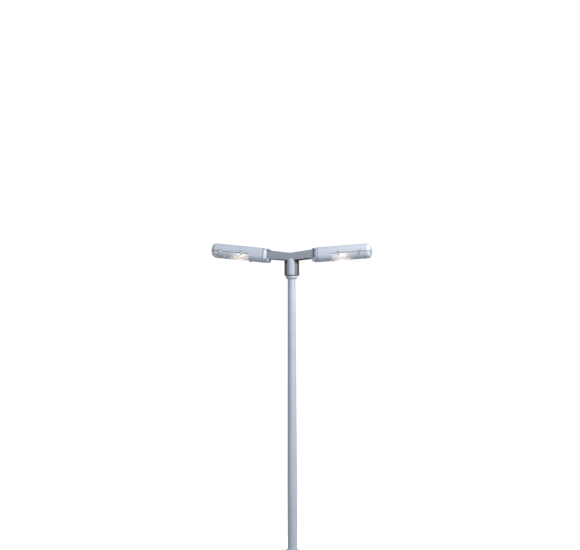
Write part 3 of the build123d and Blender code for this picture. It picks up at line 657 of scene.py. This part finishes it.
def lip_teeth(side, tree):
    """Teeth of the canopy's lip, which hang over the bowl's edge all round it."""
    drop = BOWL_TOP + LIP_RISE
    corner = NOSE_ROUND + LIP_OUT
    path = []
    start = BOWL_START + LIP_START
    end = NOSE - NOSE_ROUND
    for flank in (1, -1):
        half = [(start + (end - start) * step / LIP_STEPS, HALF_WIDTH + LIP_OUT)
                for step in range(LIP_STEPS + 1)]
        for step in range(1, LIP_CORNER_STEPS + 1):
            angle = math.pi / 2 * step / LIP_CORNER_STEPS
            half.append((min(end + corner * math.sin(angle), NOSE - LIP_NOSE_SHORT),
                         HALF_WIDTH - NOSE_ROUND + corner * math.cos(angle)))
        line = [(along, flank * across, drop) for along, across in half]
        path += line if flank > 0 else line[::-1]
    place = luminaire_place(side)
    mesh = bpy.data.meshes.new(f"{side}_lip_teeth")
    mesh.from_pydata([tuple(place @ Vector(point)) for point in path],
                     [(n, n + 1) for n in range(len(path) - 1)], [])
    piece = bpy.data.objects.new(f"{side}_lip_teeth", mesh)
    bpy.context.scene.collection.objects.link(piece)
    teeth = piece.modifiers.new("Teeth", "NODES")
    teeth.node_group = tree
    settle(piece)
    return piece


def turned(name, profile, place, material, around=32):
    """Solid of revolution about the lamp's long axis; profile is (along, radius) from end to end."""
    vertices, faces = [], []
    for along, radius in profile:
        for step in range(around):
            angle = 2 * math.pi * step / around
            vertices.append(place @ Vector((along, radius * math.cos(angle),
                                            LAMP_DROP + radius * math.sin(angle))))
    for row in range(len(profile) - 1):
        for step in range(around):
            a = row * around + step
            b = row * around + (step + 1) % around
            faces.append((a, b, b + around, a + around))
    faces.append(tuple(range(around))[::-1])
    faces.append(tuple(range((len(profile) - 1) * around, len(profile) * around)))
    return new_piece(name, vertices, faces, material)


def arc_tube(side):
    """Glowing arc tube with pinched ends, inside the lamp's glass."""
    place = luminaire_place(side)
    middle = (place.inverted() @ lamp_centre(side)).x
    profile = [(middle - away, radius) for away, radius in ARC_HALF]
    profile += [(middle, ARC_RADIUS)]
    profile += [(middle + away, radius) for away, radius in reversed(ARC_HALF)]
    return face_out(turned(f"{side}_arc_tube", profile, place, finishes["core"]))


def section(along, out, steps):
    """Whole outline of the luminaire's section, grown by out, with so many steps to each corner."""
    wide, deep, radius = HALF_WIDTH + out, HALF_HEIGHT + out, CORNER + out
    row = []
    for quarter in range(4):
        sign_v = 1 if quarter in (0, 3) else -1
        sign_w = 1 if quarter in (0, 1) else -1
        for step in range(steps + 1):
            angle = math.pi / 2 * (quarter + step / steps)
            row.append((along, sign_v * (wide - radius) + radius * math.cos(angle),
                        sign_w * (deep - radius) + radius * math.sin(angle)))
    return row


def band(name, side, along, length, proud, thick, material):
    """Flat ring round the luminaire's section, standing a little proud of its skin."""
    rows = [section(start, out, SEAL_STEPS)
            for start, out in ((along, proud), (along + length, proud),
                               (along + length, proud - thick), (along, proud - thick))]
    place = luminaire_place(side)
    around = len(rows[0])
    vertices = [place @ Vector(point) for row in rows for point in row]
    faces = []
    for row in range(4):
        for step in range(around):
            a, b = row * around + step, row * around + (step + 1) % around
            c, d = (row + 1) % 4 * around + (step + 1) % around, (row + 1) % 4 * around + step
            faces.append((a, b, c, d))
    return face_out(new_piece(name, vertices, faces, material, False))


def cap_hood(side, material):
    """Rounded shoulders of the end cap above and below the arm's end."""
    rows = []
    for station in range(HOOD_STATIONS):
        share = math.sin(math.pi / 2 * station / (HOOD_STATIONS - 1))
        out = HOOD_SHRINK * (1 - math.sqrt(max(0.0, 1 - share * share)))
        rows.append(section(HOOD_START - HOOD_LENGTH * share, out, HOOD_STEPS))
    place = luminaire_place(side)
    around = len(rows[0])
    last = (HOOD_STATIONS - 1) * around
    faces = [tuple(range(around)), tuple(range(last, last + around))[::-1]]
    for row in range(HOOD_STATIONS - 1):
        for step in range(around):
            a, b = row * around + step, row * around + (step + 1) % around
            faces.append((b, a, a + around, b + around))
    vertices = [place @ Vector(point) for row in rows for point in row]
    hood = new_piece(f"{side}_cap_hood", vertices, faces, material)
    corners = [place @ Vector((x, y, z))
               for x in HOOD_SLOT_LENGTH for y in HOOD_SLOT_WIDTH for z in HOOD_SLOT]
    box_faces = [(0, 1, 3, 2), (4, 6, 7, 5), (0, 4, 5, 1), (2, 3, 7, 6), (0, 2, 6, 4), (1, 5, 7, 3)]
    cutter = new_piece("slot_cutter", corners, box_faces, material, False)
    face_out(hood)
    face_out(cutter)
    cut = hood.modifiers.new("Arm slot", "BOOLEAN")
    cut.operation = "DIFFERENCE"
    cut.solver = "EXACT"
    cut.object = cutter
    settle(hood)
    bpy.data.objects.remove(cutter)
    return face_out(hood)


def button(name, centre, radius, height, out, material):
    """Domed screw head on a flat face, with a hexagon socket; out is the face's outward direction."""
    turn = Vector(out).to_track_quat("Z", "Y").to_matrix().to_4x4()
    place = Matrix.Translation(Vector(centre)) @ turn
    profile = [(radius * wide, rise) for wide, rise in HEAD_PROFILE]
    around = 36
    vertices, faces = [], []
    for away, rise in profile:
        for step in range(around):
            angle = 2 * math.pi * step / around
            vertices.append(place @ Vector((away * math.cos(angle), away * math.sin(angle),
                                            height * rise)))
    for depth in (1.0, SOCKET_FLOOR):
        for step in range(around):
            angle = 2 * math.pi * step / around
            flat = radius * SOCKET_SHARE / math.cos((angle + math.pi / 6) % (math.pi / 3) - math.pi / 6)
            vertices.append(place @ Vector((flat * math.cos(angle), flat * math.sin(angle),
                                            height * depth)))
    for row in range(len(profile) + 1):
        for step in range(around):
            a, b = row * around + step, row * around + (step + 1) % around
            faces.append((a, b, b + around, a + around))
    faces.append(tuple(range(around))[::-1])
    faces.append(tuple(range((len(profile) + 1) * around, (len(profile) + 2) * around)))
    return face_out(new_piece(name, vertices, faces, material, False))


def weld_bead(name, radius, height, thick, material):
    """Rippled bead of weld round the mast."""
    around = WELD_AROUND
    total = WELD_RIPPLES * 2
    vertices, faces = [], []
    for step in range(total):
        angle = math.pi * step / WELD_RIPPLES
        swell = thick * (1.0 + WELD_SWELL * (step % 2))
        for turn in range(around):
            bend = 2 * math.pi * turn / around
            away = radius + swell * math.cos(bend)
            vertices.append((away * math.cos(angle), away * math.sin(angle),
                             height + swell * math.sin(bend)))
    for step in range(total):
        for turn in range(around):
            a = step * around + turn
            b = step * around + (turn + 1) % around
            c = (step + 1) % total * around
            faces.append((a, c + turn, c + (turn + 1) % around, b))
    return face_out(new_piece(name, vertices, faces, material))


# ------------------------------------------------------------------ operators

# Nodes of each luminaire, with their finish and the width of their soft edges
LUMINAIRE_NODES = (("end_cap", "canopy", 0.0), ("canopy", "canopy", 0.0), ("gasket", "seal", 0.0),
                   ("bowl_hinge_pin", "steel", 0.0), ("gear_tray", "zinc", 0.0),
                   ("ballast", "iron", 0.0),
                   ("capacitor", "can", 0.0), ("lamp_holder", "ceramic", 0.0008),
                   ("lamp_cap", "brass", 0.0006), ("lamp_glass", "bulb", 0.0),
                   ("reflector", "reflector", 0.0), ("head_wiring", "lead", 0.0))

# Stage: half the floor's side, the height the area lights point at, and each light's place, size
# and share of the key light's power
FLOOR_HALF = 60.0
LIGHTS_AIM = 3.4
AREA_LIGHTS = (("Key", (7.0, -4.5, 7.5), 3.0, 1.0), ("Fill", (-3.0, -9.0, 3.0), 5.0, 0.12))
LAMP_LIGHT_SIZE = 0.02
LAMP_LIGHT_LIFT = 0.04


class LAMP_OT_finishes(bpy.types.Operator):
    """Make every material of the lamp"""
    bl_idname = "lamp.finishes"
    bl_label = "Finishes"

    def execute(self, context):
        scene = context.scene
        colours, lamp = scene.lamp_paint, scene.lamp_light
        centres = [lamp_centre(side) for side in SIDES]
        finishes.update({
            "mast": paint("Mast paint", colours.mast),
            "bracket": bracket_paint("Bracket paint", colours.mast),
            "canopy": paint("Canopy paint", colours.canopy, 0.04, 0.38),
            "zinc": galvanised("Galvanised steel"),
            "steel": brushed("Stainless steel", (0.62, 0.63, 0.65)),
            "clip": brushed("Clip steel", (0.66, 0.68, 0.72), (1.0, 1.0, 0.05), 0.36),
            # Painted shade: near-black finish for the saddle's shadowed cheeks beside the half tube.
            "dark": painted_shade_casting("Painted shade casting", (0.055, 0.06, 0.065)),
            "brass": tarnished_brass("Tarnished brass"),
            "box": moulded("Box plastic", (0.42, 0.44, 0.45)),
            "carrier": moulded("Carrier plastic", (0.05, 0.05, 0.055)),
            "ceramic": moulded("Ceramic", (0.82, 0.80, 0.74), 0.25, 0.0001),
            "sheath": moulded("Cable sheath", (0.035, 0.035, 0.035), 0.55),
            "lead": moulded("Lead sheath", (0.40, 0.38, 0.35), 0.55),
            "seal": moulded("Seal rubber", (0.06, 0.06, 0.065), 0.65),
            "iron": stacked_iron("Ballast iron"),
            "reflector": polished_reflector("Reflector aluminium", centres, lamp),
            "can": brushed("Aluminium can", (0.78, 0.79, 0.80)),
            "bowl": clear_bowl("Clear bowl", centres, lamp),
            "bulb": lamp_bulb("Lamp glass"),
            "core": hot_core("Arc tube"),
        })
        return {"FINISHED"}


class LAMP_OT_mast(bpy.types.Operator):
    """Dress the mast, its foot and its service door, and add the weld at its foot"""
    bl_idname = "lamp.mast"
    bl_label = "Mast"

    def execute(self, context):
        for node in ("mast_tube", "mast_foot", "mast_door_frame", "mast_door", "foot_collar"):
            dress(node, "mast")
        dress("mast_top_collar", "mast", 0.0015)
        dress("base_plate", "zinc")
        dress("mast_spigot", "zinc")
        for node in ("door_hinge_pins", "foot_collar_screws", "door_lock"):
            dress(node, "steel")
        plate_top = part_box("base_plate")[1][2]
        collar_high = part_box("foot_collar")[1]
        bead = weld_bead("foot_weld", collar_high[0] + WELD_LIFT, plate_top + WELD_LIFT, WELD_THICK,
                         finishes["mast"])
        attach(bead, "mast")
        return {"FINISHED"}


class LAMP_OT_equipment(bpy.types.Operator):
    """Dress the equipment behind the service door"""
    bl_idname = "lamp.equipment"
    bl_label = "Door equipment"

    def execute(self, context):
        dress("equipment_rail", "zinc")
        dress("fuse_box", "box", 0.0006)
        dress("fuse_box_cover", "box")
        dress("fuse_carrier", "carrier", 0.0006)
        dress("fuses", "ceramic", 0.0008)
        dress("earth_stud", "brass", 0.0004)
        for side in SIDES:
            dress(f"{side}_supply_cable", "sheath")
        return {"FINISHED"}


class LAMP_OT_bracket(bpy.types.Operator):
    """Dress the bracket, its saddle and its brass strip, and add the arm's set screw"""
    bl_idname = "lamp.bracket"
    bl_label = "Bracket"

    def execute(self, context):
        dress("bracket", "bracket", 0.0025)
        # The saddle's near-black finish is painted shade for the shadowed slots beside the half tube.
        dress("socket_saddle", "dark", 0.0020)
        dress("socket_screws", "steel", 0.0008)
        dress("bond_strip", "brass", 0.0005)
        for side in SIDES:
            dress(f"{side}_tilt_bolt", "steel", 0.0008)
        centre = (SCREW_X, bracket_low.y - SCREW_SINK, SCREW_Z)
        screw = button("arm_set_screw", centre, SCREW_RADIUS, SCREW_HEIGHT, (0, -1, 0),
                       finishes["steel"])
        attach(screw, "mast")
        return {"FINISHED"}


class LAMP_OT_luminaires(bpy.types.Operator):
    """Dress both luminaires and make their ribbed bowls, lip teeth, arc tubes, seals and hoods"""
    bl_idname = "lamp.luminaires"
    bl_label = "Luminaires"

    def execute(self, context):
        bowl = context.scene.lamp_bowl
        teeth = tooth_tree(finishes["seal"], bowl)
        for side in SIDES:
            body = f"{side}_luminaire"
            for node, finish, bevel in LUMINAIRE_NODES:
                dress(f"{side}_{node}", finish, bevel)
            for row in ("inner", "outer"):
                for face in ("front", "rear"):
                    dress(f"{side}_clip_{row}_{face}", "clip", 0.0010)
            clear = ribbed_bowl(side, bowl)
            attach(clear, f"{side}_bowl")
            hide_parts(f"{side}_lens_bowl")
            lip = lip_teeth(side, teeth)
            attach(lip, body)
            core = arc_tube(side)
            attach(core, body)
            seal = band(f"{side}_cap_seal", side, *SEAL, finishes["seal"])
            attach(seal, body)
            hood = cap_hood(side, finishes["canopy"])
            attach(hood, body)
        return {"FINISHED"}


class LAMP_OT_stage(bpy.types.Operator):
    """Pale floor, soft light and the camera"""
    bl_idname = "lamp.stage"
    bl_label = "Stage"

    def execute(self, context):
        scene = context.scene
        stage, lamp = scene.lamp_stage, scene.lamp_light
        scene.view_settings.view_transform = "Standard"
        ground = Finish("Pale floor")
        grain = ground.noise(3.0, 4.0)
        ground.set(Base_Color=ground.mix(grain, (0.93, 0.93, 0.93, 1), (0.97, 0.97, 0.97, 1)),
                   Roughness=0.8, Emission_Color=(1.0, 1.0, 1.0, 1), Emission_Strength=0.75)
        half = FLOOR_HALF
        corners = [(-half, -half, 0), (half, -half, 0), (half, half, 0), (-half, half, 0)]
        floor = new_piece("pale_floor", corners, [(0, 1, 2, 3)], ground.material, False)
        floor.visible_diffuse = False
        floor.visible_glossy = False

        world = bpy.data.worlds.new("Studio")
        world.use_nodes = True
        scene.world = world
        tree = world.node_tree
        tree.nodes.clear()
        out = tree.nodes.new("ShaderNodeOutputWorld")
        swap = tree.nodes.new("ShaderNodeMixShader")
        path = tree.nodes.new("ShaderNodeLightPath")
        soft, seen = tree.nodes.new("ShaderNodeBackground"), tree.nodes.new("ShaderNodeBackground")
        soft.inputs["Color"].default_value = (0.86, 0.92, 1.0, 1)
        soft.inputs["Strength"].default_value = 0.42
        seen.inputs["Color"].default_value = (1.0, 1.0, 1.0, 1)
        seen.inputs["Strength"].default_value = 1.05
        tree.links.new(path.outputs["Is Camera Ray"], swap.inputs[0])
        tree.links.new(soft.outputs[0], swap.inputs[1])
        tree.links.new(seen.outputs[0], swap.inputs[2])
        tree.links.new(swap.outputs[0], out.inputs[0])

        eye = Vector((stage.distance * math.sin(stage.turn), -stage.distance * math.cos(stage.turn),
                      stage.eye_height))
        aim = Vector((0.0, 0.0, stage.aim_height)) - eye
        view = bpy.data.cameras.new("View")
        view.lens = stage.lens
        view.sensor_width = 36.0
        view.shift_x = stage.slide
        view.clip_end = 300.0
        camera = bpy.data.objects.new("View", view)
        camera.location = eye
        lean = Matrix.Rotation(-stage.roll, 3, "Z").to_quaternion()
        camera.rotation_euler = (aim.to_track_quat("-Z", "Y") @ lean).to_euler()
        scene.collection.objects.link(camera)
        scene.camera = camera

        for name, spot, size, share in AREA_LIGHTS:
            light = bpy.data.lights.new(name, "AREA")
            light.size = size
            light.energy = stage.key_power * share
            source = bpy.data.objects.new(name, light)
            source.location = spot
            aim = Vector((0.0, 0.0, LIGHTS_AIM)) - Vector(spot)
            source.rotation_euler = aim.to_track_quat("-Z", "Y").to_euler()
            scene.collection.objects.link(source)
        for side in SIDES:
            light = bpy.data.lights.new(f"{side} lamp", "POINT")
            light.energy = lamp.power
            light.color = lamp.glow
            light.shadow_soft_size = LAMP_LIGHT_SIZE
            source = bpy.data.objects.new(f"{side} lamp", light)
            source.location = lamp_centre(side) + Vector((0, 0, LAMP_LIGHT_LIFT))
            scene.collection.objects.link(source)
        return {"FINISHED"}


class LAMP_PT_panel(bpy.types.Panel):
    """The lamp's pieces in the sidebar"""
    bl_idname = "LAMP_PT_panel"
    bl_label = "Street lamp"
    bl_space_type = "VIEW_3D"
    bl_region_type = "UI"
    bl_category = "Street Lamp"

    def draw(self, context):
        column = self.layout.column()
        for operator in OPERATORS:
            column.operator(operator.bl_idname)


OPERATORS = (LAMP_OT_finishes, LAMP_OT_mast, LAMP_OT_equipment, LAMP_OT_bracket, LAMP_OT_luminaires,
             LAMP_OT_stage)
SETTINGS = {"lamp_stage": StageSettings, "lamp_paint": PaintSettings, "lamp_bowl": BowlSettings,
            "lamp_light": LampSettings}
CLASSES = tuple(SETTINGS.values()) + OPERATORS + (LAMP_PT_panel,)


def register():
    for cls in CLASSES:
        bpy.utils.register_class(cls)
    for name, cls in SETTINGS.items():
        setattr(bpy.types.Scene, name, PointerProperty(type=cls))


def unregister():
    for name in SETTINGS:
        delattr(bpy.types.Scene, name)
    for cls in reversed(CLASSES):
        bpy.utils.unregister_class(cls)


def main():
    register()
    for operator in OPERATORS:
        group, name = operator.bl_idname.split(".")
        getattr(getattr(bpy.ops, group), name)()


if __name__ == "__main__":
    main()
